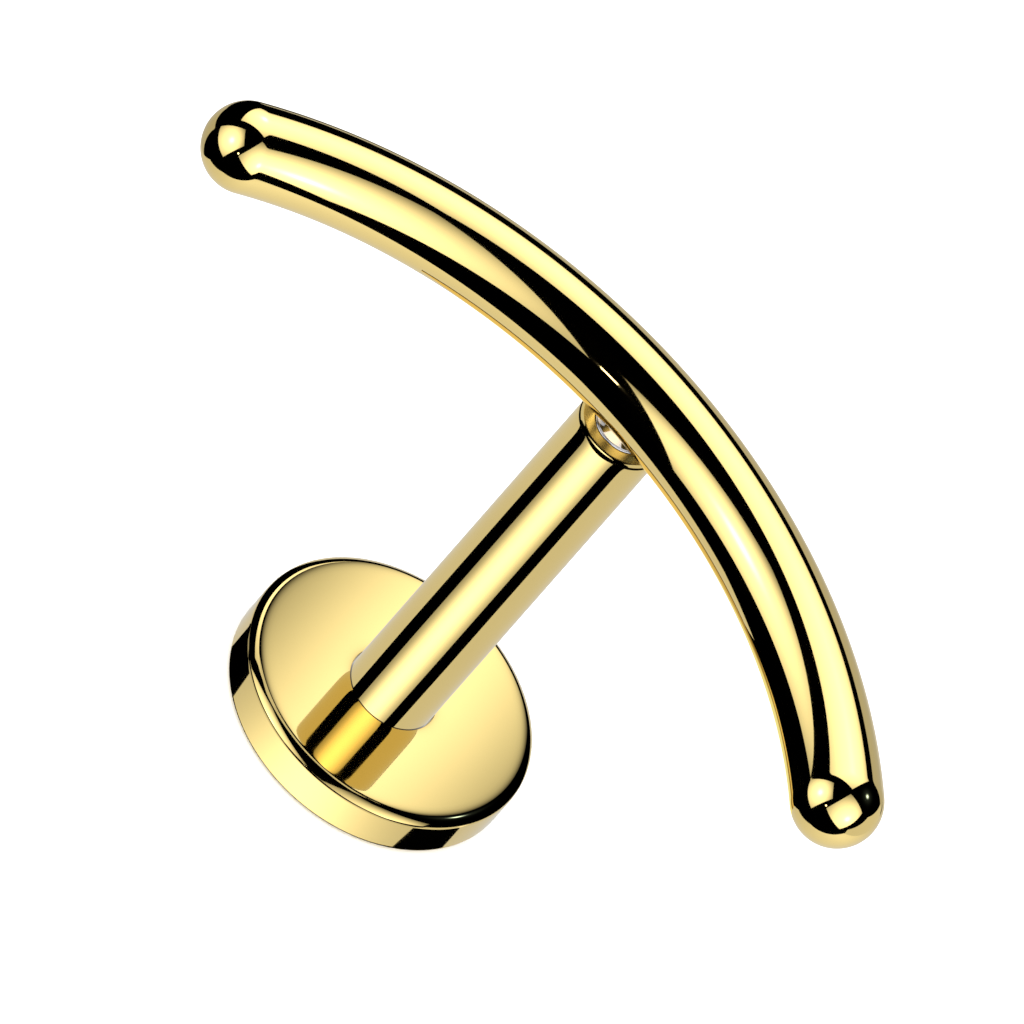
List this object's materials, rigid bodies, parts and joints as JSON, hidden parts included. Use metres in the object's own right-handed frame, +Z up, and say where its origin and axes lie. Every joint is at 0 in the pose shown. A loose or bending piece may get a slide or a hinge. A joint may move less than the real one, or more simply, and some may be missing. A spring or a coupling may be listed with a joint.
{
  "type": "curved labret",
  "caption": "Flat-back body jewellery stud: a disc back with a hollow post, and a curved round bar on top that screws down into the post with a threaded pin.",
  "frame": {"origin": "centre of the disc's underside, the flat face that the stud stands on", "axes": "+Z up the post, the curved bar's ends lie along X, and its bow bulges towards +Y"},
  "size_m": [0.0122, 0.0049, 0.0079],
  "materials": {
    "gold": "mirror-polished gold-coloured coating over steel",
    "steel": "polished bare steel"
  },
  "bodies": {
    "stud": {"back_disc": "gold", "post": "gold"},
    "pin": {"threaded_pin": "steel"},
    "bar": {"curved_bar": "gold"}
  },
  "joints": [
    {"name": "pin_lift", "type": "slide", "parent": "stud", "child": "pin", "axis": [0, 0, 1], "range_m": [0, 0.00091875]},
    {"name": "bar_turn", "type": "hinge", "parent": "pin", "child": "bar", "pos_m": [0, 0, 0.0073], "axis": [0, 0, 1], "range_deg": [0, 1891]}
  ],
  "couplings": [
    {"joint": "bar_turn", "follows": "pin_lift", "rad_per_m": 35904}
  ]
}
